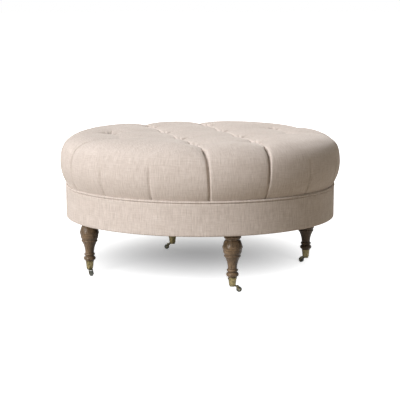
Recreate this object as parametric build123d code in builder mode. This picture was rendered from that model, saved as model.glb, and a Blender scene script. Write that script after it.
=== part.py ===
from build123d import *
import math
import os

os.makedirs("parts", exist_ok=True)

# Round ottoman coffee table: a tufted cushion over an upholstered apron, on four turned legs
# that end in brass cup casters. Millimetres, +Z up, origin on the floor under the centre.
# The legs stand on the X and Y axes, and the tufts lie in rows along the same two axes.

# Main sizes
apron_diameter = 927
apron_bottom_height = 195.5
frame_top_height = 300
overall_height = 483

# Cushion outline: how far it stands out over the apron, and its crown above its widest line
cushion_overhang = 19
crown_rise = 97
side_radius = 200
side_turn = 12
shoulder_radius = 55
shoulder_turn = 43
seam_inset = 5.5
seam_band = 7

# Tufts, creases and pleats
tuft_pitch = 208.6
crease_depth = 14
crease_half_width = 98
crest_margin = 0.3
short_crease_depth = 12
short_crease_half_width = 80
tuft_dish_radius = 50
tuft_throat_radius = 9
tuft_throat_depth = 23
tuft_pit_radius = 3
tuft_pit_depth = 41
stem_tail = 8
pleat_depth = 16
pleat_half_width = 75
pleat_foot_depth = 2.5
pleat_angle = 12.5
dart_depth = 10
dart_half_width = 60
dart_angles = (35.2, 57)
dart_crest_inset = 32.5
run_out_turn = 12
run_out_length = 78
dart_run_out_turn = 20
pleat_overrun = 2.3

# Layers between the frame and the cushion
apron_cover_thickness = 3.6
apron_fold_thickness = 2
apron_fold_width = 38
apron_lap_thickness = 1.5
apron_lap_width = 32
apron_edge_radius = 1.2
cover_fold_thickness = 1.5
cover_fold_width = 32
welt_radius = 3.5
welt_gap = 0.3
fabric_gap = 0.3
glue_gap = 0.1

# Deck board, foam and tufting twine
deck_inset = 6
deck_thickness = 18
foam_inset = 5
wadding_thickness = 25
foam_edge_radius = 45
foam_hole_radius = 15
twine_radius = 1.2
twine_knot_radius = 3.2
twine_knot_length = 5
twine_hole_radius = 3
washer_radius = 12
washer_thickness = 3
washer_hole_radius = 1.6

# Frame inside the apron
band_thickness = 12
ring_thickness = 18
upper_ring_width = 67
lower_ring_width = 112
leg_inset = 71.5
leg_post_length = 60
leg_post_width = 60
between_post_margin = 1.5
between_post_length = 44
between_post_width = 50
rail_height = 44
rail_thickness = 20
post_well_radius = 14
post_well_depth = 30
dust_cover_thickness = 0.8
dust_cover_lap = 15

# Legs
leg_bulb_diameter = 67.4
cup_top_height = 50
leg_collar_radius = 29

# Fasteners
hanger_bolt_radius = 4
hanger_bolt_in_leg = 60
hanger_bolt_above_ring = 14
hanger_bolt_chamfer = 1
tee_nut_barrel_radius = 5.5
tee_nut_barrel_length = 12
tee_nut_flange_radius = 11
tee_nut_flange_thickness = 1.5
screw_radius = 2.1
screw_head_radius = 4.2
screw_length = 40
upper_screw_inset = 35
lower_screw_step = 21
deck_screw_length = 34
screw_clearance = 0.1
cup_screw_radius = 1.1
cup_screw_head_radius = 2
cup_screw_head_height = 0.9
cup_screw_length = 9
cup_screw_height = 45.5

# Casters
cup_bottom_height = 23.7
cup_top_radius = 14
cup_bottom_radius = 11
cup_wall = 1.5
cup_floor = 4
cup_bead = 0.9
sleeve_radius = 7
sleeve_height = 14
stem_radius = 4
running_clearance = 0.05
stem_length = 15
end_clearance = 0.3
caster_trail = 22
wheel_diameter = 18.5
wheel_width = 9
wheel_crown = 0.5
wheel_hub_radius = 4.5
wheel_rim_radius = 7.6
wheel_hub_recess = 1.2
wheel_side_clearance = 0.5
collar_radius = 9.5
collar_height = 4
horn_arm_thickness = 2.2
horn_boss_radius = 4
horn_arm_root_radius = 1.9
bridge_length = 21
bridge_thickness = 2.2
bridge_corner_radius = 2.5
collar_round = 1
axle_radius = 1.6
axle_head_radius = 2.6
axle_head_height = 0.8

# Each caster is named with its leg's place and has swivelled its own way
leg_places = {"front_left": 180, "front_right": 270, "back_right": 0, "back_left": 90}
caster_turns = {"front_left": -88, "front_right": -5, "back_right": 115, "back_left": 175}

cut_overrun = 30

# Turned outline from the cup up: share of the turned length, share of the bulb's radius, and
# how far the stretch up to the next row swells (+) or hollows (-), as a share of that radius
leg_outline_shares = [
    (0.000, 0.415, 0.0),
    (0.012, 0.454, 0.157),
    (0.112, 0.454, 0.0),
    (0.130, 0.451, 0.104),
    (0.183, 0.451, 0.0),
    (0.207, 0.445, -0.073),
    (0.458, 0.772, 0.0),
    (0.462, 0.807, 0.020),
    (0.485, 0.807, 0.0),
    (0.490, 0.789, 0.0),
    (0.512, 0.792, 0.030),
    (0.594, 0.908, 0.0),
    (0.598, 0.887, 0.0),
    (0.603, 0.887, 0.0),
    (0.607, 0.914, 0.0),
    (0.647, 0.956, 0.0),
    (0.651, 0.938, 0.0),
    (0.655, 0.938, 0.0),
    (0.659, 0.988, 0.012),
    (0.685, 0.988, 0.0),
    (0.689, 0.967, 0.016),
    (0.812, 0.786, 0.0),
    (0.824, 0.718, -0.014),
    (0.860, 0.718, 0.0),
    (0.869, 0.813, 0.024),
    (0.908, 0.816, 0.0),
    (0.915, 0.798, 0.0),
]

# Worked-out sizes
apron_radius = apron_diameter / 2
cushion_radius = apron_radius + cushion_overhang
cushion_widest_height = overall_height - crown_rise
seam_radius = apron_radius - seam_inset
band_outer_radius = apron_radius - apron_cover_thickness - fabric_gap
band_inner_radius = band_outer_radius - band_thickness
ring_outer_radius = band_inner_radius - glue_gap
band_bottom_height = apron_bottom_height + apron_fold_thickness
lower_ring_top = band_bottom_height + ring_thickness
upper_ring_bottom = frame_top_height - ring_thickness
apron_top_height = frame_top_height + apron_lap_thickness
deck_bottom_height = apron_top_height + cover_fold_thickness
deck_top_height = deck_bottom_height + deck_thickness
deck_radius = seam_radius - deck_inset
foam_radius = deck_radius - foam_inset
foam_top_height = overall_height - wadding_thickness
foam_height = foam_top_height - deck_top_height
leg_circle_radius = apron_radius - leg_inset
between_post_radius = ring_outer_radius - between_post_margin - between_post_length / 2
dart_crest_radius = cushion_radius - dart_crest_inset
stem_bottom_height = overall_height - tuft_pit_depth - stem_tail
wheel_radius = wheel_diameter / 2
shoulder_end = math.radians(side_turn + shoulder_turn)
shoulder_end_height = (
    cushion_widest_height
    + side_radius * math.sin(math.radians(side_turn))
    + shoulder_radius * (math.sin(shoulder_end) - math.sin(math.radians(side_turn)))
)
crown_edge_turn = 90 - side_turn - shoulder_turn
crown_edge_radius = (overall_height - shoulder_end_height) / (1 - math.sin(shoulder_end))
post_height = upper_ring_bottom - lower_ring_top

inner_step = tuft_pitch / 2
outer_step = inner_step + tuft_pitch
tufts = [(x, y) for x in (-inner_step, inner_step) for y in (-inner_step, inner_step)]
for near in (-inner_step, inner_step):
    for far in (-outer_step, outer_step):
        tufts += [(near, far), (far, near)]

quarter_turns = (0, 90, 180, 270)
post_turn = 45
deck_screw_turn = 22.5


def polar(radius, angle):
    """A point in plan."""
    return (radius * math.cos(math.radians(angle)), radius * math.sin(math.radians(angle)))


def upright_plane(angle, x=0, y=0):
    """The upright plane over a point in plan whose own X runs at this angle and own Y is up."""
    out = polar(1, angle)
    return Plane(origin=(x, y, 0), x_dir=(out[0], out[1], 0), z_dir=(out[1], -out[0], 0))


def upright_axis(x, y):
    """The vertical axis over a point in plan."""
    return Axis((x, y, 0), (0, 0, 1))


def side_line(foot_radius, foot_height, depth, shoulder_sweep, crown_sweep=0):
    """The cushion's side, from its foot up and over, drawn in by depth; returns its last arc."""
    reach = cushion_radius - depth - foot_radius
    rise = cushion_widest_height - foot_height
    lower_radius = (rise**2 + reach**2) / (2 * reach)
    lean = math.asin(rise / lower_radius)
    lower = JernArc(
        (foot_radius, foot_height),
        (math.sin(lean), math.cos(lean)),
        lower_radius,
        math.degrees(lean),
    )
    side = JernArc(lower @ 1, lower % 1, side_radius - depth, side_turn)
    last = JernArc(side @ 1, side % 1, shoulder_radius - depth, shoulder_sweep)
    if crown_sweep:
        last = JernArc(last @ 1, last % 1, crown_edge_radius - depth, crown_sweep)
    return last


def furrow_section(plane, half_width, depth):
    """A furrow's section with its cusp at the plane's origin and round flanks that open upward."""
    with BuildSketch(plane) as section:
        with BuildLine():
            TangentArc((half_width, depth), (0, 0), tangent=(-1, 0))
            TangentArc((-half_width, depth), (0, 0), tangent=(1, 0))
            Polyline(
                (half_width, depth),
                (half_width, depth + cut_overrun),
                (-half_width, depth + cut_overrun),
                (-half_width, depth),
            )
        make_face()
    return section.sketch


def crease_cut(start, end, half_width, depth):
    """Cut a straight furrow into the crown between two points in plan."""
    run = Vector(*end) - Vector(*start)
    along = run.normalized()
    middle = (Vector(*start) + Vector(*end)) / 2
    plane = Plane(
        origin=(middle.X, middle.Y, overall_height - depth),
        x_dir=(-along.Y, along.X, 0),
        z_dir=(along.X, along.Y, 0),
    )
    section = furrow_section(plane, half_width, depth + crest_margin)
    extrude(section, amount=run.length / 2, both=True, mode=Mode.SUBTRACT)


def pleat_cutter(half_width, depth, shoulder_sweep, crown_sweep):
    """A furrow at angle zero that rises from the seam, turns over the edge and runs out."""
    with BuildPart() as cutter:
        with BuildLine(upright_plane(0)) as route:
            foot_radius = seam_radius - pleat_foot_depth
            foot_height = apron_top_height - pleat_overrun
            last = side_line(foot_radius, foot_height, depth, shoulder_sweep, crown_sweep)
            PolarLine(last @ 1, run_out_length, direction=last % 1)
        section_plane = Plane(origin=route.line @ 0, x_dir=(0, -1, 0), z_dir=route.line % 0)
        section = furrow_section(section_plane, half_width, depth)
        sweep(section, path=route.line)
    return cutter.part


def foam_outline(grow):
    """Half the foam's section, its crown and rim grown by this much, on the XZ plane."""
    radius = foam_radius + grow
    top = foam_top_height + grow
    with BuildSketch(Plane.XZ) as outline:
        with BuildLine():
            Polyline(
                (radius, top - foam_edge_radius),
                (radius, deck_top_height),
                (0, deck_top_height),
                (0, top),
                (radius - foam_edge_radius, top),
            )
            JernArc((radius, top - foam_edge_radius), (0, 1), foam_edge_radius, 90)
        make_face()
    return outline.sketch


def ring_sketch(height, outer_radius, inner_radius):
    """A flat ring round the Z axis at this height."""
    with BuildSketch(Plane.XY.offset(height)) as ring:
        Circle(outer_radius)
        Circle(inner_radius, mode=Mode.SUBTRACT)
    return ring.sketch


def screw_outline(seat, length, grow=0):
    """Half a countersunk wood screw; seat is x, y, the head's height and which way it drives."""
    x, y, height, way = seat
    shank = screw_radius + grow
    head = screw_head_radius + grow
    with BuildSketch(upright_plane(0, x, y)) as outline:
        with BuildLine():
            Polyline(
                (0, height - way * grow),
                (head, height - way * grow),
                (shank, height + way * (head - shank)),
                (shank, height + way * (length - shank)),
                (0, height + way * (length + grow)),
                close=True,
            )
        make_face()
    return outline.sketch


def drive(seats, length, grow=0, mode=Mode.ADD):
    """Add a screw at each seat, or cut the holes that the screws leave."""
    for seat in seats:
        outline = screw_outline(seat, length, grow)
        revolve(outline, axis=upright_axis(seat[0], seat[1]), mode=mode)


def finish(part, name):
    """Label a piece and write it."""
    part.label = name
    export_step(part, f"parts/{name}.step")


# Where the screws sit: down through the upper ring, up through the lower ring and the deck
upper_seats, lower_seats, deck_seats = [], [], []
for turn in quarter_turns:
    for angle in (turn, turn + post_turn):
        place = polar(ring_outer_radius - upper_screw_inset, angle)
        upper_seats.append((*place, frame_top_height, -1))
    for step in (-lower_screw_step, lower_screw_step):
        place = polar(leg_circle_radius + step, turn)
        lower_seats.append((*place, band_bottom_height, 1))
    place = polar(between_post_radius, turn + post_turn)
    lower_seats.append((*place, band_bottom_height, 1))
    for angle in (turn - deck_screw_turn, turn + deck_screw_turn):
        place = polar(ring_outer_radius - upper_screw_inset, angle)
        deck_seats.append((*place, upper_ring_bottom, 1))

# Cushion cover with its wadding: crowned, with creases between the blind tufts and pleats
# that run over the edge to the seam, hollow underneath for the foam and the deck board
deep_pleat = pleat_cutter(pleat_half_width, pleat_depth, shoulder_turn, run_out_turn)
dart = pleat_cutter(dart_half_width, dart_depth, dart_run_out_turn, 0)
with BuildPart() as tufted_cover:
    with BuildSketch(Plane.XZ):
        with BuildLine():
            foot = Line((0, apron_top_height), (seam_radius, apron_top_height))
            band = Line(foot @ 1, (seam_radius, apron_top_height + seam_band))
            edge = side_line(
                seam_radius, apron_top_height + seam_band, 0, shoulder_turn, crown_edge_turn
            )
            Polyline(edge @ 1, (0, overall_height), foot @ 0)
        make_face()
    revolve(axis=Axis.Z)
    # pleats from the outer tufts over the edge, and darts between them
    for turn in quarter_turns:
        for angle in (-pleat_angle, pleat_angle):
            add(deep_pleat.rotate(Axis.Z, turn + angle), mode=Mode.SUBTRACT)
        for angle in dart_angles:
            add(dart.rotate(Axis.Z, turn + angle), mode=Mode.SUBTRACT)
    # creases along the rows of tufts, and short ones across the outer rows
    for side in (-inner_step, inner_step):
        for start, end in (
            ((side, -cushion_radius), (side, cushion_radius)),
            ((-cushion_radius, side), (cushion_radius, side)),
        ):
            crease_cut(start, end, crease_half_width, crease_depth)
    for far in (-outer_step, outer_step):
        for start, end in (
            ((far, -inner_step), (far, inner_step)),
            ((-inner_step, far), (inner_step, far)),
        ):
            crease_cut(start, end, short_crease_half_width, short_crease_depth)
    # slanted creases from the outer tufts towards the darts
    for turn in quarter_turns:
        for tuft, angle in (
            ((outer_step, inner_step), dart_angles[0]),
            ((inner_step, outer_step), dart_angles[1]),
        ):
            start = Vector(*tuft).rotate(Axis.Z, turn)
            end = Vector(*polar(dart_crest_radius, turn + angle))
            crease_cut(
                (start.X, start.Y), (end.X, end.Y), short_crease_half_width, short_crease_depth
            )
    # the hollow for the foam, the deck board and the fold under its edge
    revolve(foam_outline(fabric_gap), axis=Axis.Z, mode=Mode.SUBTRACT)
    with BuildSketch(Plane.XY.offset(deck_bottom_height)):
        Circle(deck_radius + fabric_gap)
    extrude(amount=deck_thickness + fabric_gap, mode=Mode.SUBTRACT)
    with BuildSketch(Plane.XY.offset(apron_top_height)):
        Circle(seam_radius - cover_fold_width)
    extrude(amount=deck_thickness, mode=Mode.SUBTRACT)
    # the cover is drawn down into the foam's holes, and its pits open over them
    with BuildSketch(Plane.XY.offset(stem_bottom_height)):
        with Locations(*tufts):
            Circle(foam_hole_radius - fabric_gap)
    extrude(amount=foam_top_height + 2 * fabric_gap - stem_bottom_height)
    for x, y in tufts:
        with BuildSketch(upright_plane(0, x, y)):
            with BuildLine():
                throat = (tuft_throat_radius, overall_height - tuft_throat_depth)
                dish = TangentArc((tuft_dish_radius, overall_height), throat, tangent=(-1, 0))
                Polyline(
                    throat,
                    (tuft_pit_radius, overall_height - tuft_pit_depth),
                    (0, overall_height - tuft_pit_depth),
                    (0, overall_height + cut_overrun),
                    (tuft_dish_radius, overall_height + cut_overrun),
                    (tuft_dish_radius, overall_height),
                )
            make_face()
        revolve(axis=upright_axis(x, y), mode=Mode.SUBTRACT)
finish(tufted_cover.part, "tufted_cover")

# Foam block on the deck, drilled at each tuft
with BuildPart() as foam_core:
    revolve(foam_outline(0), axis=Axis.Z)
    with BuildSketch(Plane.XY.offset(deck_top_height)):
        with Locations(*tufts):
            Circle(foam_hole_radius)
    extrude(amount=foam_height, mode=Mode.SUBTRACT)
finish(foam_core.part, "foam_core")

# Plywood deck board, drilled for the twine and for the screws that hold it from below
with BuildPart() as deck_board:
    with BuildSketch(Plane.XY.offset(deck_bottom_height)):
        Circle(deck_radius)
        with Locations(*tufts):
            Circle(twine_hole_radius, mode=Mode.SUBTRACT)
    extrude(amount=deck_thickness)
    drive(deck_seats, deck_screw_length, screw_clearance, Mode.SUBTRACT)
finish(deck_board.part, "deck_board")

# Tufting twine, from each pit down through the foam and the deck to its knot
with BuildPart() as tufting_twines:
    knot_height = deck_bottom_height - washer_thickness
    for radius, length in (
        (twine_radius, stem_bottom_height - knot_height),
        (twine_knot_radius, -twine_knot_length),
    ):
        with BuildSketch(Plane.XY.offset(knot_height)):
            with Locations(*tufts):
                Circle(radius)
        extrude(amount=length)
finish(tufting_twines.part, "tufting_twines")

# Washers that the knots bear on
with BuildPart() as twine_washers:
    with BuildSketch(Plane.XY.offset(deck_bottom_height - washer_thickness)):
        with Locations(*tufts):
            Circle(washer_radius)
            Circle(washer_hole_radius, mode=Mode.SUBTRACT)
    extrude(amount=washer_thickness)
finish(twine_washers.part, "twine_washers")

# Welt cord in the seam between the cushion and the apron
with BuildPart(Plane.XY.offset(apron_top_height + welt_gap + welt_radius)) as welt_cord:
    Torus(seam_radius + welt_gap + welt_radius, welt_radius)
finish(welt_cord.part, "welt_cord")

# Apron cover, lapped over the frame's top edge and folded under its lower edge
with BuildPart() as apron_cover:
    with BuildSketch(Plane.XZ):
        with BuildLine():
            wall = apron_radius - apron_cover_thickness
            Polyline(
                (apron_radius - apron_fold_width, apron_bottom_height),
                (apron_radius, apron_bottom_height),
                (apron_radius, apron_top_height),
                (apron_radius - apron_lap_width, apron_top_height),
                (apron_radius - apron_lap_width, frame_top_height),
                (wall, frame_top_height),
                (wall, band_bottom_height),
                (apron_radius - apron_fold_width, band_bottom_height),
                close=True,
            )
        face = make_face()
        fillet(face.vertices().group_by(Axis.X)[-1], apron_edge_radius)
    revolve(axis=Axis.Z)
finish(apron_cover.part, "apron_cover")

# Bent plywood band
with BuildPart() as apron_band:
    extrude(
        ring_sketch(band_bottom_height, band_outer_radius, band_inner_radius),
        amount=frame_top_height - band_bottom_height,
    )
finish(apron_band.part, "apron_band")

# Upper ring, which carries the deck board
with BuildPart() as upper_ring:
    inner = ring_outer_radius - upper_ring_width
    extrude(ring_sketch(upper_ring_bottom, ring_outer_radius, inner), amount=ring_thickness)
    drive(upper_seats, screw_length, screw_clearance, Mode.SUBTRACT)
    drive(deck_seats, deck_screw_length, screw_clearance, Mode.SUBTRACT)
finish(upper_ring.part, "upper_ring")

# Lower ring, which the legs bolt to
with BuildPart() as lower_ring:
    inner = ring_outer_radius - lower_ring_width
    extrude(ring_sketch(band_bottom_height, ring_outer_radius, inner), amount=ring_thickness)
    with BuildSketch(Plane.XY.offset(band_bottom_height)):
        with PolarLocations(leg_circle_radius, 4):
            Circle(tee_nut_barrel_radius + screw_clearance)
    extrude(amount=ring_thickness, mode=Mode.SUBTRACT)
    drive(lower_seats, screw_length, screw_clearance, Mode.SUBTRACT)
finish(lower_ring.part, "lower_ring")

# Posts between the rings: one over each leg, with a well for its bolt, and one between
for place, angle in leg_places.items():
    with BuildPart() as leg_post:
        with BuildSketch(Plane.XY.offset(lower_ring_top)):
            with PolarLocations(leg_circle_radius, 1, start_angle=angle):
                Rectangle(leg_post_length, leg_post_width)
        extrude(amount=post_height)
        with BuildSketch(Plane.XY.offset(lower_ring_top)):
            with PolarLocations(leg_circle_radius, 1, start_angle=angle):
                Circle(post_well_radius)
        extrude(amount=post_well_depth, mode=Mode.SUBTRACT)
        drive(upper_seats, screw_length, screw_clearance, Mode.SUBTRACT)
        drive(lower_seats, screw_length, screw_clearance, Mode.SUBTRACT)
    finish(leg_post.part, f"leg_post_{place}")

for number, turn in enumerate(quarter_turns, start=1):
    angle = turn + post_turn
    with BuildPart() as frame_post:
        with BuildSketch(Plane.XY.offset(lower_ring_top)):
            with PolarLocations(between_post_radius, 1, start_angle=angle):
                Rectangle(between_post_length, between_post_width)
        extrude(amount=post_height)
        drive(upper_seats, screw_length, screw_clearance, Mode.SUBTRACT)
        drive(lower_seats, screw_length, screw_clearance, Mode.SUBTRACT)
    finish(frame_post.part, f"frame_post_{number}")

# Cross rails from post to post, lying on the lower ring and half-lapped where they cross
rail_length = 2 * leg_circle_radius - leg_post_length
for name, angle, lap_height in (
    ("cross_rail_lower", 0, lower_ring_top + rail_height / 2),
    ("cross_rail_upper", 90, lower_ring_top),
):
    with BuildPart() as rail:
        with BuildSketch(Plane.XY.offset(lower_ring_top)):
            Rectangle(rail_length, rail_thickness, rotation=angle)
        extrude(amount=rail_height)
        with BuildSketch(Plane.XY.offset(lap_height)):
            Rectangle(rail_thickness, rail_thickness + 2 * glue_gap, rotation=angle + 90)
        extrude(amount=rail_height / 2, mode=Mode.SUBTRACT)
    finish(rail.part, name)

# Dust cover, stapled over the fold of the apron cover and holed for the legs
with BuildPart() as dust_cover:
    with BuildSketch(Plane.XY.offset(apron_bottom_height - dust_cover_thickness)):
        Circle(apron_radius - apron_fold_width + dust_cover_lap)
        with PolarLocations(leg_circle_radius, 4):
            Circle(leg_collar_radius + fabric_gap, mode=Mode.SUBTRACT)
    extrude(amount=dust_cover_thickness)
finish(dust_cover.part, "dust_cover")

# Screws: rings to posts, and upper ring to deck board
with BuildPart() as frame_screws:
    drive(upper_seats + lower_seats, screw_length)
finish(frame_screws.part, "frame_screws")

with BuildPart() as deck_screws:
    drive(deck_seats, deck_screw_length)
finish(deck_screws.part, "deck_screws")

# Hanger bolts, half in the leg and half through the tee nut
with BuildPart() as hanger_bolts:
    with BuildSketch(Plane.XY.offset(band_bottom_height - hanger_bolt_in_leg)):
        with PolarLocations(leg_circle_radius, 4):
            Circle(hanger_bolt_radius)
    extrude(amount=hanger_bolt_in_leg + ring_thickness + hanger_bolt_above_ring)
    bolt_ends = hanger_bolts.edges().filter_by(GeomType.CIRCLE)
    chamfer(bolt_ends, length=hanger_bolt_chamfer)
finish(hanger_bolts.part, "hanger_bolts")

# Tee nuts, pressed into the lower ring from above
with BuildPart() as tee_nuts:
    with BuildSketch(Plane.XY.offset(lower_ring_top)):
        with PolarLocations(leg_circle_radius, 4):
            Circle(tee_nut_flange_radius)
    extrude(amount=tee_nut_flange_thickness)
    with BuildSketch(Plane.XY.offset(lower_ring_top - tee_nut_barrel_length)):
        with PolarLocations(leg_circle_radius, 4):
            Circle(tee_nut_barrel_radius)
    extrude(amount=tee_nut_barrel_length)
    with BuildSketch(Plane.XY.offset(lower_ring_top + tee_nut_flange_thickness)):
        with PolarLocations(leg_circle_radius, 4):
            Circle(hanger_bolt_radius + screw_clearance)
    extrude(
        amount=-(tee_nut_barrel_length + tee_nut_flange_thickness), mode=Mode.SUBTRACT
    )
finish(tee_nuts.part, "tee_nuts")

# Turned legs, each with a tapered toe in its cup
leg_top_height = band_bottom_height
turned_length = leg_top_height - cup_top_height
bulb_radius = leg_bulb_diameter / 2
toe_radius = cup_top_radius - cup_wall
cup_floor_height = cup_bottom_height + cup_floor
cup_taper = (cup_top_radius - cup_bottom_radius) / (cup_top_height - cup_bottom_height)
toe_tip_radius = toe_radius - cup_taper * (cup_top_height - cup_floor_height)
sleeve_top_height = cup_floor_height + sleeve_height

cup_screw_planes = {}
for place, angle in leg_places.items():
    x, y = polar(leg_circle_radius, angle)
    cup_screw_planes[place] = [
        Plane(origin=(x, y, cup_screw_height), z_dir=(*polar(1, angle + side), 0))
        for side in (90, 270)
    ]

for place, angle in leg_places.items():
    x, y = polar(leg_circle_radius, angle)
    with BuildPart() as leg:
        with BuildSketch(upright_plane(angle, x, y)):
            with BuildLine():
                Polyline(
                    (0, leg_top_height),
                    (0, cup_floor_height),
                    (toe_tip_radius, cup_floor_height),
                    (toe_radius, cup_top_height),
                    (leg_outline_shares[0][1] * bulb_radius, cup_top_height),
                )
                rows = leg_outline_shares + [(1, leg_collar_radius / bulb_radius, 0)]
                for low, high in zip(rows, rows[1:]):
                    start = Vector(low[1] * bulb_radius, cup_top_height + low[0] * turned_length)
                    end = Vector(high[1] * bulb_radius, cup_top_height + high[0] * turned_length)
                    if low[2]:
                        run = (end - start).normalized()
                        swell = Vector(run.Y, -run.X) * low[2] * bulb_radius
                        ThreePointArc(start, (start + end) / 2 + swell, end)
                    else:
                        Line(start, end)
                Line((leg_collar_radius, leg_top_height), (0, leg_top_height))
            make_face()
        revolve(axis=upright_axis(x, y))
        with BuildSketch(Plane.XY.offset(leg_top_height)):
            with Locations((x, y)):
                Circle(hanger_bolt_radius + screw_clearance)
        extrude(amount=-(hanger_bolt_in_leg + end_clearance), mode=Mode.SUBTRACT)
        with BuildSketch(Plane.XY.offset(cup_floor_height)):
            with Locations((x, y)):
                Circle(sleeve_radius + glue_gap)
        extrude(amount=sleeve_height + end_clearance, mode=Mode.SUBTRACT)
        for plane in cup_screw_planes[place]:
            with BuildSketch(plane.offset(cup_top_radius - cup_screw_length - end_clearance)):
                Circle(cup_screw_radius + screw_clearance)
            extrude(amount=cup_screw_length + end_clearance, mode=Mode.SUBTRACT)
    finish(leg.part, f"leg_{place}")

# Casters: a fixed cup with a blind sleeve for the stem, a horn, an axle pin and a wheel
stem_base_height = cup_bottom_height - end_clearance
collar_bottom_height = stem_base_height - collar_height
fork_gap = wheel_width / 2 + wheel_side_clearance
fork_reach = fork_gap + horn_arm_thickness
for place, angle in leg_places.items():
    x, y = polar(leg_circle_radius, angle)
    turn = caster_turns[place]
    trail = polar(caster_trail, turn)
    bore_radius = stem_radius + running_clearance
    bore_top_height = cup_bottom_height + stem_length
    rim_height = cup_top_height - 2 * cup_bead
    rim_radius = cup_top_radius - cup_taper * 2 * cup_bead
    with BuildPart() as cup:
        with BuildSketch(upright_plane(angle, x, y)):
            with BuildLine():
                Polyline(
                    (rim_radius, rim_height),
                    (cup_bottom_radius, cup_bottom_height),
                    (bore_radius, cup_bottom_height),
                    (bore_radius, bore_top_height),
                    (0, bore_top_height),
                    (0, sleeve_top_height),
                    (sleeve_radius, sleeve_top_height),
                    (sleeve_radius, cup_floor_height),
                    (toe_tip_radius, cup_floor_height),
                    (toe_radius, cup_top_height),
                    (cup_top_radius, cup_top_height),
                    (cup_top_radius + cup_bead, cup_top_height - cup_bead),
                    (rim_radius, rim_height),
                )
            make_face()
        revolve(axis=upright_axis(x, y))
        for plane in cup_screw_planes[place]:
            with BuildSketch(plane.offset(cup_top_radius)):
                Circle(cup_screw_radius + screw_clearance)
            extrude(amount=-2 * cup_wall, mode=Mode.SUBTRACT)
    finish(cup.part, f"caster_cup_{place}")

    # the horn: stem, collar, a bridge over the wheel and an arm down each side of it
    level = Plane(origin=(x, y, 0), x_dir=(*polar(1, turn), 0), z_dir=(0, 0, 1))
    with BuildPart() as horn:
        with BuildSketch(level.offset(collar_bottom_height)):
            Circle(collar_radius)
        extrude(amount=collar_height)
        fillet(horn.edges().group_by(Axis.Z)[-1], collar_round)
        with BuildSketch(level.offset(collar_bottom_height + collar_height)):
            Circle(stem_radius)
        extrude(amount=stem_length - end_clearance)
        with BuildSketch(level.offset(collar_bottom_height)):
            with Locations((bridge_length / 2, 0)):
                RectangleRounded(bridge_length, 2 * fork_reach, bridge_corner_radius)
        extrude(amount=bridge_thickness)
        for side in (-1, 1):
            arm_plane = upright_plane(turn, x, y).offset(side * (fork_gap + fork_reach) / 2)
            with BuildSketch(arm_plane):
                with Locations((caster_trail, wheel_radius)):
                    Circle(horn_boss_radius)
                with Locations((bridge_length / 2, collar_bottom_height + horn_arm_root_radius)):
                    Circle(horn_arm_root_radius)
                make_hull()
                with Locations((caster_trail, wheel_radius)):
                    Circle(axle_radius + glue_gap, mode=Mode.SUBTRACT)
            extrude(amount=horn_arm_thickness / 2, both=True)
    finish(horn.part, f"caster_horn_{place}")

    centre = Vector(x + trail[0], y + trail[1], wheel_radius)
    sideways = (*polar(1, turn + 90), 0)
    wheel_plane = Plane(origin=centre, x_dir=sideways, z_dir=(*polar(1, turn), 0))
    wheel_axis = Axis(centre, sideways)
    with BuildPart() as axle:
        with BuildSketch(Plane(origin=centre, z_dir=sideways)):
            Circle(axle_radius)
        extrude(amount=fork_reach, both=True)
        for side in (-1, 1):
            head_plane = Plane(origin=centre, z_dir=sideways).offset(side * fork_reach)
            with BuildSketch(head_plane):
                Circle(axle_head_radius)
            extrude(amount=side * axle_head_height)
    finish(axle.part, f"caster_axle_{place}")

    half = wheel_width / 2
    with BuildPart() as wheel:
        with BuildSketch(wheel_plane):
            with BuildLine():
                Polyline(
                    (-half, wheel_radius - wheel_crown),
                    (-half, wheel_rim_radius),
                    (-half + wheel_hub_recess, wheel_rim_radius - wheel_hub_recess),
                    (-half + wheel_hub_recess, wheel_hub_radius),
                    (-half, wheel_hub_radius),
                    (-half, axle_radius + running_clearance),
                    (half, axle_radius + running_clearance),
                    (half, wheel_hub_radius),
                    (half - wheel_hub_recess, wheel_hub_radius),
                    (half - wheel_hub_recess, wheel_rim_radius - wheel_hub_recess),
                    (half, wheel_rim_radius),
                    (half, wheel_radius - wheel_crown),
                )
                ThreePointArc(
                    (half, wheel_radius - wheel_crown),
                    (0, wheel_radius),
                    (-half, wheel_radius - wheel_crown),
                )
            make_face()
        revolve(axis=wheel_axis)
    finish(wheel.part, f"caster_wheel_{place}")

# Small screws that hold the cups on the legs
with BuildPart() as cup_screws:
    for planes in cup_screw_planes.values():
        for plane in planes:
            with BuildSketch(plane.offset(cup_top_radius)):
                Circle(cup_screw_head_radius)
            extrude(amount=cup_screw_head_height)
            with BuildSketch(plane.offset(cup_top_radius)):
                Circle(cup_screw_radius)
            extrude(amount=-cup_screw_length)
finish(cup_screws.part, "cup_screws")
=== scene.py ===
import math

import bpy
import numpy as np
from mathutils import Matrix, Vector, geometry, noise


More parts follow.
